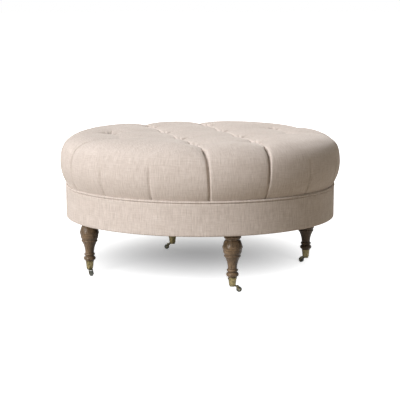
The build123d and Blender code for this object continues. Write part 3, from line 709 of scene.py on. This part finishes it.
def grained(name, light, dark, along):
    """Plain board or frame wood with its grain along one axis."""
    made, tree = new_material(name, roughness=0.65)
    place, parts = place_parts(tree)
    scales = [9.0 if axis == along else 150.0 for axis in range(3)]
    grain = clouds(tree, stretched(tree, parts, scales), detail=4.0, distortion=0.5)
    return surface(made, ramp(tree, grain, [(0.30, dark), (0.70, light)]), None, grain, 0.2, 0.0004)


def speckled(name, light, dark, scale, roughness):
    """A plain matter with fine mottling: foam, felted cloth, rubber, twine."""
    made, tree = new_material(name, roughness=roughness)
    place, parts = place_parts(tree)
    grains = clouds(tree, place, scale=scale, detail=4.0, rough=0.7)
    broad = clouds(tree, place, scale=scale / 25, detail=2.0)
    both = calc(tree, "MULTIPLY_ADD", grains, 0.7, calc(tree, "MULTIPLY", broad, 0.3))
    rough = mapped(tree, grains, 0.3, 0.7, roughness + 0.06, roughness - 0.06)
    return surface(made, ramp(tree, both, [(0.35, dark), (0.65, light)]), rough, grains, 0.4, 0.0003)


# Upholstery

def wadding_depth():
    """How far in from the plain cover its hollow lies, along the profile's run."""
    top, deck_top = FOAM_HIGH.z + GAP, FOAM_LOW.z + GAP
    foam, deck = FOAM_HIGH.x + GAP, DECK_RADIUS + GAP
    slope_r, slope_z = np.gradient(PROFILE_R, PROFILE_RUN), np.gradient(PROFILE_Z, PROFILE_RUN)
    depths = np.linspace(0, 0.09, 900)
    found = []
    for r, z, in_r, in_z in zip(PROFILE_R, PROFILE_Z, slope_z, -slope_r):
        along_r, along_z = r + depths * in_r, z + depths * in_z
        corner_r = np.maximum(along_r - (foam - FOAM_EDGE), 0)
        corner_z = np.maximum(along_z - (top - FOAM_EDGE), 0)
        inside = (np.hypot(corner_r, corner_z) < FOAM_EDGE) & (along_r < foam) & (along_z < top)
        inside |= (along_r < deck) & (along_z < deck_top)
        found.append(depths[np.argmax(inside)])
    return np.array(found)


def open_edges(faces):
    """The edges, as pairs of points, that only one face has, the way that face goes round."""
    edges = {(a, b): True for face in faces for a, b in zip(face, face[1:] + face[:1])}
    return [(a, b) for a, b in edges if (b, a) not in edges]


def lined(cover, rows, faces, hollow):
    """Close the cover: a hollow round foam and deck, and the fold under the deck's edge."""
    rim = open_edges(faces)
    rim_points = sorted({a for a, _ in rim})
    angles = np.arctan2(rows[rim_points, 1], rows[rim_points, 0])

    def circle(radius, height):
        """A point at each of the rim's angles."""
        return np.stack([radius * np.cos(angles), radius * np.sin(angles), np.full(len(angles), height)], 1)

    hollow[rim_points] = circle(DECK_RADIUS + GAP, FOOT + CLOTH)
    outer = points_of(cover)
    points = [outer, hollow, circle(FOLD, FOOT + CLOTH), circle(FOLD, FOOT)]
    joined = [list(polygon.vertices) for polygon in cover.data.polygons]
    joined += [[index + len(outer) for index in reversed(face)] for face in faces]
    upper = {index: len(outer) + len(hollow) + k for k, index in enumerate(rim_points)}
    lower = {index: upper[index] + len(rim_points) for index in rim_points}
    # each of the rim's edges was halved when the outer skin was subdivided
    after = dict(open_edges(joined[:len(cover.data.polygons)]))
    for a, b in rim:
        inside_a, inside_b = len(outer) + a, len(outer) + b
        joined.append([inside_a, inside_b, upper[b], upper[a]])
        joined.append([upper[a], upper[b], lower[b], lower[a]])
        joined.append([lower[a], lower[b], b, after[a], a])
    material = cover.data.materials[0]
    bpy.data.objects.remove(cover)
    return make_object("tufted_cushion_cover", np.concatenate(points), joined, material)


def eased(values, faces, weight, rounds):
    """Values at the net's points averaged with their neighbours', more where the weight is more."""
    pairs = np.array([(a, b) for face in faces for a, b in zip(face, face[1:] + face[:1])])
    count = np.zeros(len(values))
    np.add.at(count, pairs[:, 0], 1)
    np.add.at(count, pairs[:, 1], 1)
    for _ in range(rounds):
        total = np.zeros_like(values)
        np.add.at(total, pairs[:, 0], values[pairs[:, 1]])
        np.add.at(total, pairs[:, 1], values[pairs[:, 0]])
        values = values + weight[:, None] * (total / count[:, None] - values)
    return values


def near_darts(rows):
    """1 on the shoulder above each dart, where the fabric runs smooth, falling to 0 round it."""
    x, y, run = rows.T
    angle = np.degrees(np.arctan2(y, x)) % 90
    off = np.min([np.abs(angle - math.degrees(dart)) for dart in DART_ANGLES], axis=0)
    band = smooth(run, GRID_RUN - 0.030, GRID_RUN - 0.005)
    band = band * (1 - smooth(run, WIDEST_RUN - 0.010, WIDEST_RUN + 0.020))
    return band * (1 - smooth(off, 8.0, 13.0))


def through_subdivision(values, faces):
    """Values at the net's points, three to a point, carried to the subdivided net's points."""
    net = subdivided(make_object("net", values, faces))
    carried = points_of(net)
    bpy.data.objects.remove(net)
    return carried


def cushion_cover(material):
    """The tufted cover: its outer skin, and the hollow that fits round the foam and the deck."""
    rows, faces = cover_grid()
    base, out = base_points(rows)
    start = base - out * dents(rows)[:, None]
    cover = make_object("outer_skin", start, faces, material)
    settle(cover, holds(rows))
    moved = eased(points_of(cover) - start, faces, near_darts(rows), 60)
    cap = np.minimum(1, MOST_SETTLE / np.maximum(np.linalg.norm(moved, axis=1), 1e-9))
    set_points(cover, start + moved * cap[:, None])
    # the side swells less than the crown
    settled = points_of(cover)
    swell = np.maximum(np.sum((settled - base) * out, axis=1), 0)
    settled -= out * (SIDE_SWELL_BACK * swell * smooth(rows[:, 2], GRID_RUN, WIDEST_RUN))[:, None]
    # the twines draw the rows between the tufts in further than the stuffing lets them settle
    pit = np.min([np.hypot(rows[:, 0] - x, rows[:, 1] - y) for x, y in PITS], axis=0)
    crown = 1 - smooth(rows[:, 2], PLEAT_RUN - 0.030, PLEAT_RUN + 0.010)
    crown = crown * smooth(pit, 0.020, 0.050)
    settled -= out * (TWINE_PULL * dents(rows) * crown)[:, None]
    # it stays outside the foam, but for the pits, which go down into the foam's holes
    held_in = np.sum((base - settled) * out, axis=1)
    depth = np.interp(rows[:, 2], PROFILE_RUN, wadding_depth())
    excess = np.where(pit > HOLE, np.maximum(held_in - depth + 1.4 * CLOTH, 0), 0)
    settled += out * excess[:, None]
    set_points(cover, settled)
    room = np.maximum(depth - held_in + excess, CLOTH)
    room = np.where(pit < 0.8 * HOLE, np.maximum(room, 0.010), room)
    subdivided(cover)
    # the same subdivision of the net itself tells where each new point lies
    fine_rows = through_subdivision(rows, faces)
    fine_room = through_subdivision(np.stack([room] * 3, 1), faces)
    stitch = np.minimum(stitches(fine_rows), np.maximum(fine_room[:, 0] - CLOTH, 0))
    set_points(cover, points_of(cover) - normals_of(cover) * stitch[:, None])
    return lined(cover, rows, faces, settled - out * room[:, None])


def lathe(name, outline, angles, material, wave):
    """A ring turned from a closed outline of (radius, height); wave moves each point a little."""
    points, faces = [], []
    size, count = len(outline), len(angles)
    for angle in angles:
        for j, (r, z) in enumerate(outline):
            dr, dz = wave(angle, r, z)
            points.append(((r + dr) * math.cos(angle), (r + dr) * math.sin(angle), z + dz))
    for i in range(count):
        k = (i + 1) % count
        for j in range(size):
            m = (j + 1) % size
            faces.append((i * size + j, k * size + j, k * size + m, i * size + m))
    return make_object(name, points, faces, material)


def apron_cloth(material):
    """The fabric round the frame: lapped over its top edge and folded under its lower edge."""
    fold = APRON - 0.038
    lap = APRON - 0.032
    wall = APRON - 0.0036
    inner_low, inner_high = APRON_LOW.z + 0.002, APRON_HIGH.z - 0.0015
    edge, top_edge = 0.0045, 0.003
    outline = [(fold, APRON_LOW.z)]
    outline += [(r, APRON_LOW.z) for r in np.linspace(fold + 0.008, APRON - 2 * edge, 3)]
    outline += on_arc((APRON - edge, APRON_LOW.z + edge), edge, np.linspace(-math.pi / 2, 0, 6))
    outline += [(APRON, z) for z in np.linspace(APRON_LOW.z + 0.012, APRON_HIGH.z - 0.010, 12)]
    outline += on_arc((APRON - top_edge, APRON_HIGH.z - top_edge), top_edge, np.linspace(0, math.pi / 2, 5))
    outline += [(lap, APRON_HIGH.z), (lap, inner_high), (wall, inner_high), (wall, inner_low),
                (fold, inner_low)]

    def wave(angle, r, z):
        """Small ripples in the outer face, and the closing seam with its fabric drawn up beside it."""
        if r < APRON - 0.006:
            return 0, 0
        place = Vector((math.cos(angle) * 3.2, math.sin(angle) * 3.2, z * 9))
        ripple = noise.noise(place) * 0.0005 + noise.noise(place * 4.1) * 0.00022
        off = (angle - BACK_SEAM) * APRON
        seam = 0.0016 * cusp(off, 0.0030, 1.3) - 0.0006 * math.exp(-((abs(off) - 0.0055) / 0.0030) ** 2)
        return ripple - float(seam), 0

    count = 720
    angles = sorted([2 * math.pi * i / count for i in range(count)]
                    + [BACK_SEAM + step * 0.0011 / APRON for step in range(-9, 10)])
    return lathe("apron_upholstery", outline, angles, material, wave)


def welt(material):
    """Covered cord in the seam, a little uneven as sewn welt is."""
    radius = SEAM + WELT
    height = (WELT_LOW.z + WELT_HIGH.z) / 2
    outline = on_arc((radius, height), WELT, np.linspace(0, 2 * math.pi, 15)[:-1])

    def wave(angle, r, z):
        """The cord's own small rises and swellings."""
        place = Vector((math.cos(angle) * 24, math.sin(angle) * 24, 0.4))
        lift = noise.noise(place) * 0.00025
        swell = noise.noise(place * 2.3) * 0.06
        return (r - radius) * swell + lift * 0.4, (z - height) * swell + lift

    return lathe("seam_welt", outline, np.linspace(0, 2 * math.pi, 901)[:-1], material, wave)


def ring_points(centre, radius, count):
    """Points round a circle on the plan."""
    return on_arc(centre, radius, [2 * math.pi * i / count for i in range(count)])


def dust_sheet(material):
    """Thin cloth stapled under the frame, cut out round the legs and slack between them."""
    rim, step, reach = DUST_HIGH.x, 0.014, 33
    places, edges = [], []

    def loop(points):
        """Add points with edges that go round them."""
        first = len(places)
        places.extend(points)
        edges.extend((first + i, first + (i + 1) % len(points)) for i in range(len(points)))

    def from_leg(place):
        """How far a place is from the middle of the nearest leg."""
        return min(math.dist(place, leg) for leg in LEGS)

    loop(ring_points((0, 0), rim, 180))
    for leg in LEGS:
        loop(ring_points(leg, LEG_HOLE, 40))
        places.extend(ring_points(leg, LEG_HOLE + 0.007, 40))
    places.extend(ring_points((0, 0), rim - 0.008, 180))
    for i in range(-reach, reach + 1):
        for j in range(-reach, reach + 1):
            x, y = (i + 0.5 * (j % 2)) * step, j * step * 0.87
            if math.hypot(x, y) < rim - 0.014 and from_leg((x, y)) > LEG_HOLE + 0.013:
                places.append((x, y))
    flat, _, faces, _, _, _ = geometry.delaunay_2d_cdt([Vector(p) for p in places], edges, [], 0, 1e-6)
    faces = [face for face in faces
             if from_leg([sum(flat[k][axis] for k in face) / 3 for axis in (0, 1)]) > LEG_HOLE]
    points = []
    for x, y in flat:
        slack = smooth(min(rim - math.hypot(x, y), from_leg((x, y)) - LEG_HOLE), 0.012, 0.16)
        pucker = noise.noise(Vector((x * 9, y * 9, 2.0))) * 0.0009
        pucker += noise.noise(Vector((x * 31, y * 31, 5.0))) * 0.0003
        points.append((x, y, DUST_HIGH.z - 0.0003 - slack * (0.0011 + max(pucker, -0.0008))))
    made = make_object("dust_cloth", points, faces, material)
    solid = made.modifiers.new("thickness", "SOLIDIFY")
    solid.thickness, solid.offset = 0.0005, 0.0
    return applied(made, solid)


def staples(material):
    """Wire staples along the dust cloth's edge."""
    points, faces = [], []
    wire, span, leg, bend, count = 0.0006, 0.010, 0.0040, 0.0009, 60
    radius, height = DUST_HIGH.x - 0.0075, DUST_LOW.z + 0.0003
    # along and up the wire of one staple, its ends bent up into the wood
    bends = ((-span / 2, leg), (-span / 2, 0.0004), (-span / 2 + bend, -wire / 2),
             (span / 2 - bend, -wire / 2), (span / 2, 0.0004), (span / 2, leg))
    for i in range(count):
        angle = 2 * math.pi * (i + 0.5) / count
        turn = angle + math.pi / 2 + 0.22 * noise.noise(Vector((i * 1.7, 0.3, 0.9)))
        across = Vector((math.cos(turn), math.sin(turn), 0))
        side = Vector((-across.y, across.x, 0)) * wire
        middle = Vector((radius * math.cos(angle), radius * math.sin(angle), height))
        first = len(points)
        for along, rise in bends:
            centre = middle + across * along + Vector((0, 0, rise))
            if abs(along) < span / 2:
                lift = Vector((0, 0, wire * 0.8))
            else:
                lift = across * math.copysign(wire * 0.8, -along)
            points += [centre - side, centre - lift, centre + side, centre + lift]
        for a in range(first, first + 20, 4):
            faces += [(a + k, a + (k + 1) % 4, a + 4 + (k + 1) % 4, a + 4 + k) for k in range(4)]
        faces += [(first + 3, first + 2, first + 1, first),
                  (first + 20, first + 21, first + 22, first + 23)]
    return make_object("dust_cloth_staples", points, faces, material)


# Scene

WARM = (1.0, 0.92, 0.82)
SKY = 0.22
FLOOR_SIZE = 60.0
FLOOR_BOUNCE = 0.46
# Painted light: the floor's glow to the eye, weakest at the middle of the shadow and growing outwards,
# which paints the floor darker under the table
FLOOR_MIDDLE = (0.09, 0.30, 0.0)
FLOOR_REACH = 0.76
FLOOR_GLOW, FLOOR_GLOW_AWAY = 0.24, 0.95
FLOOR_LIGHT = 0.6
FLOOR_WHITE = 1.10
FLOOR_SEEN = (FLOOR_WHITE - FLOOR_GLOW) / (SKY + FLOOR_LIGHT)
# Lamps: energy, colour, and the spread, bearing and height in degrees
KEY_COLOUR = (1.0, 0.99, 1.02)
KEY = (3.47, KEY_COLOUR, 30, 203, 30)
BEHIND = (1.0, KEY_COLOUR, 30, 108, 35)
FLOOR_RISE = 30
FLOOR_LAMP = (FLOOR_LIGHT * math.pi / math.sin(math.radians(FLOOR_RISE)), WARM, 64, 252, FLOOR_RISE)
LEG_LAMP = (2.6, (1.0, 0.95, 0.88), 18, 212, 10)
# The camera: place, tilt down and turn in degrees, and lens in millimetres
CAMERA_PLACE = (-1.242, -4.499, 0.954)
CAMERA_TILT, CAMERA_TURN, CAMERA_LENS = 8.655, -15.43, 122.1


def times(colour, factor):
    """A colour multiplied by a number, with its alpha."""
    return tuple(factor * c for c in colour) + (1,)


def seen_by_eye(tree):
    """1 for what the camera, reflections and glass see, and 0 for the light that surfaces get."""
    path = node(tree, "ShaderNodeLightPath").outputs
    mirrored = calc(tree, "MAXIMUM", path["Is Glossy Ray"], path["Is Transmission Ray"])
    return calc(tree, "MAXIMUM", path["Is Camera Ray"], mirrored)


def pale_floor():
    """The floor's material: white to the eye but for the table's shadow, which a painted glow, weaker under
    the table, deepens; warm in its bounce.
    """
    made, tree = new_material("pale_floor")
    tree.nodes.remove(tree.nodes["Principled BSDF"])
    seen = seen_by_eye(tree)
    lit = node(tree, "ShaderNodeBsdfDiffuse")
    # a colour that looks neutral in the warm light
    neutral = tuple(FLOOR_SEEN / c for c in WARM) + (1,)
    socket(tree, lit.inputs["Color"], mixed(tree, seen, times(WARM, FLOOR_BOUNCE), neutral))
    place = node(tree, "ShaderNodeTexCoord").outputs["Object"]
    # painted glow to the eye, weaker near the table, so that the floor's shadow there is partly painted
    away = node(tree, "ShaderNodeVectorMath", {0: place, 1: FLOOR_MIDDLE}, operation="DISTANCE")
    painted_floor_glow = mapped(tree, away.outputs["Value"], 0.0, FLOOR_REACH, FLOOR_GLOW, FLOOR_GLOW_AWAY,
                    kind="SMOOTHSTEP")
    glow = node(tree, "ShaderNodeEmission", {"Color": (1, 1, 1, 1)})
    socket(tree, glow.inputs["Strength"], calc(tree, "MULTIPLY", seen, painted_floor_glow))
    both = node(tree, "ShaderNodeAddShader", {0: lit.outputs[0], 1: glow.outputs[0]})
    socket(tree, tree.nodes["Material Output"].inputs["Surface"], both.outputs[0])
    return made


def sun(name, energy, colour, spread, turn, rise):
    """A soft distant light from this bearing and height in degrees."""
    made = bpy.data.objects.new(name, bpy.data.lights.new(name, "SUN"))
    made.data.energy, made.data.color, made.data.angle = energy, colour, math.radians(spread)
    turn, rise = math.radians(turn), math.radians(rise)
    way = Vector((math.cos(turn) * math.cos(rise), math.sin(turn) * math.cos(rise), math.sin(rise)))
    made.rotation_mode = "QUATERNION"
    made.rotation_quaternion = way.to_track_quat("Z", "Y")
    bpy.context.scene.collection.objects.link(made)
    return made


def studio():
    """An even sky, a pale floor, and the lamps with what each of them lights."""
    world = bpy.data.worlds.new("studio")
    bpy.context.scene.world = world
    world.use_nodes = True
    tree = world.node_tree
    back = tree.nodes["Background"]
    socket(tree, back.inputs["Color"], mixed(tree, seen_by_eye(tree), times(WARM, SKY), (1, 1, 1, 1)))
    corners = ((-1, -1), (1, -1), (1, 1), (-1, 1))
    floor = make_object("floor", [(FLOOR_SIZE * x, FLOOR_SIZE * y, 0) for x, y in corners],
                        [(0, 1, 2, 3)], pale_floor())
    # The key light comes from the left, and a weaker one for the crown from behind. The floor has
    # its own soft light from the front, so that the shadow stays under the table, and a low lamp
    # reaches under the apron to three of the legs.
    legs = [made for name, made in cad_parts.items()
            if name.startswith(("leg_", "caster_")) and not name.startswith("leg_post")
            and not name.endswith("back_right")]
    for name, lamp, lit, state in (("key_light", KEY, [floor], "EXCLUDE"),
                                   ("top_light", BEHIND, [floor], "EXCLUDE"),
                                   ("floor_light", FLOOR_LAMP, [floor], "INCLUDE"),
                                   ("leg_light", LEG_LAMP, legs, "INCLUDE")):
        linked = bpy.data.collections.new(name + "_lit")
        sun(name, *lamp).light_linking.receiver_collection = linked
        for made in lit:
            linked.objects.link(made)
        for entry in linked.collection_objects:
            entry.light_linking.link_state = state


def camera():
    """The photograph's view."""
    data = bpy.data.cameras.new("camera")
    data.lens, data.sensor_width = CAMERA_LENS, 36
    made = bpy.data.objects.new("camera", data)
    made.location = CAMERA_PLACE
    made.rotation_euler = (math.radians(90 - CAMERA_TILT), 0, math.radians(CAMERA_TURN))
    bpy.context.scene.collection.objects.link(made)
    bpy.context.scene.camera = made


camera()
studio()

fabric_crown = linen("linen_on_cushion", crown=True, streaks=0.3)
fabric_side = linen("linen_on_apron", streaks=0.55)
cover = cushion_cover(fabric_crown)
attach(cover, "root")
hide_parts("tufted_cover")

apron = apron_cloth(fabric_side)
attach(apron, "root")
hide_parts("apron_cover")

felt = speckled("dust_cloth", (0.035, 0.034, 0.033), (0.016, 0.016, 0.016), 1100, 0.9)
sheet = dust_sheet(felt)
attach(sheet, "root")
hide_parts("dust_cover")

zinc = metal("zinc_steel", (0.62, 0.63, 0.64), (0.35, 0.36, 0.37), 0.30)
pins = staples(zinc)
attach(pins, "root")

piping = welt(fabric_side)
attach(piping, "root")
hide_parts("welt_cord")

# Better materials on the frame's own nodes
wood = turned_wood()
brass = metal("aged_brass", (0.205, 0.166, 0.082), (0.068, 0.058, 0.032), 0.30)
dark_brass = metal("dark_brass", (0.150, 0.130, 0.075), (0.050, 0.046, 0.032), 0.34)
pin = metal("steel_pin", (0.20, 0.19, 0.155), (0.080, 0.075, 0.060), 0.36)
wheel = speckled("dark_wheel", (0.085, 0.092, 0.080), (0.045, 0.050, 0.045), 900, 0.45)
plywood = grained("plywood", (0.62, 0.46, 0.29), (0.45, 0.31, 0.18), 0)
frame_wood = grained("frame_wood", (0.66, 0.50, 0.33), (0.48, 0.34, 0.20), 1)
foam = speckled("foam", (0.80, 0.72, 0.50), (0.66, 0.57, 0.36), 700, 0.9)
twine = speckled("twine", (0.62, 0.52, 0.36), (0.42, 0.33, 0.20), 1500, 0.85)
fibre = speckled("washer", (0.35, 0.24, 0.14), (0.22, 0.14, 0.08), 900, 0.8)
finishes = (
    (frame_wood, ("leg_post", "frame_post", "cross_rail")), (wood, "leg_"), (pin, "caster_axle"),
    (brass, ("caster_cup", "cup_screws")), (dark_brass, "caster_horn"), (wheel, "caster_wheel"),
    (plywood, ("deck_board", "apron_band", "upper_ring", "lower_ring")), (foam, "foam_core"),
    (zinc, ("frame_screws", "deck_screws", "hanger_bolts", "tee_nuts")),
    (twine, "tufting_twines"), (fibre, "twine_washers"), (felt, "dust_cover"),
)
for name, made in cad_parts.items():
    finish = next((finish for finish, starts in finishes if name.startswith(starts)), None)
    if finish:
        if not made.material_slots:
            made.data.materials.append(finish)
        for slot in made.material_slots:
            slot.material = finish

scene = bpy.context.scene
scene.view_settings.view_transform = "Standard"
